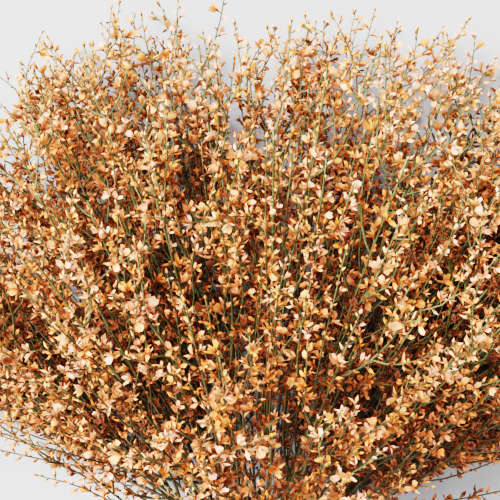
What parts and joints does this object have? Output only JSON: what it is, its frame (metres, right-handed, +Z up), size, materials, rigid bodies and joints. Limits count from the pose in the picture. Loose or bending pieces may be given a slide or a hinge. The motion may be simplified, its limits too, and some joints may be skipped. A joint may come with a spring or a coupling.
{
  "type": "dried broom bunch",
  "caption": "Bunch of dried broom in bloom: thin branching stems covered in small peach pea flowers, tied with twine round the stalks and lying on its side.",
  "frame": {"origin": "middle of the bounding box, on the surface that the bunch lies on", "axes": "+Y along the bunch from the cut ends to the bloom, +Z up, +X to the right seen from above with the bloom away from the viewer"},
  "size_m": [0.4816, 0.5802, 0.2952],
  "materials": {
    "petals": "dry, matt, papery",
    "stems": "dry green rind, matt",
    "calyces": "dry, matt",
    "twine": "natural plant fibre, matt"
  },
  "bodies": {
    "root": {"spray_01": "petals", "spray_02": "petals", "spray_03": "petals", "spray_04": "petals", "spray_05": "petals", "spray_06": "petals", "spray_07": "petals", "spray_08": "petals", "spray_09": "petals", "spray_10": "petals", "spray_11": "petals", "spray_12": "petals", "spray_13": "petals", "spray_14": "petals", "spray_15": "petals", "spray_16": "petals", "spray_17": "petals", "spray_18": "petals", "spray_19": "petals", "spray_20": "petals", "spray_21": "petals", "spray_22": "petals", "spray_23": "petals", "spray_24": "petals", "spray_25": "petals", "spray_26": "petals", "spray_27": "petals", "spray_28": "petals", "spray_29": "petals", "spray_30": "petals", "spray_31": "petals", "spray_32": "petals", "spray_33": "petals", "spray_34": "petals", "spray_35": "petals", "tie": "twine"}
  },
  "joints": []
}
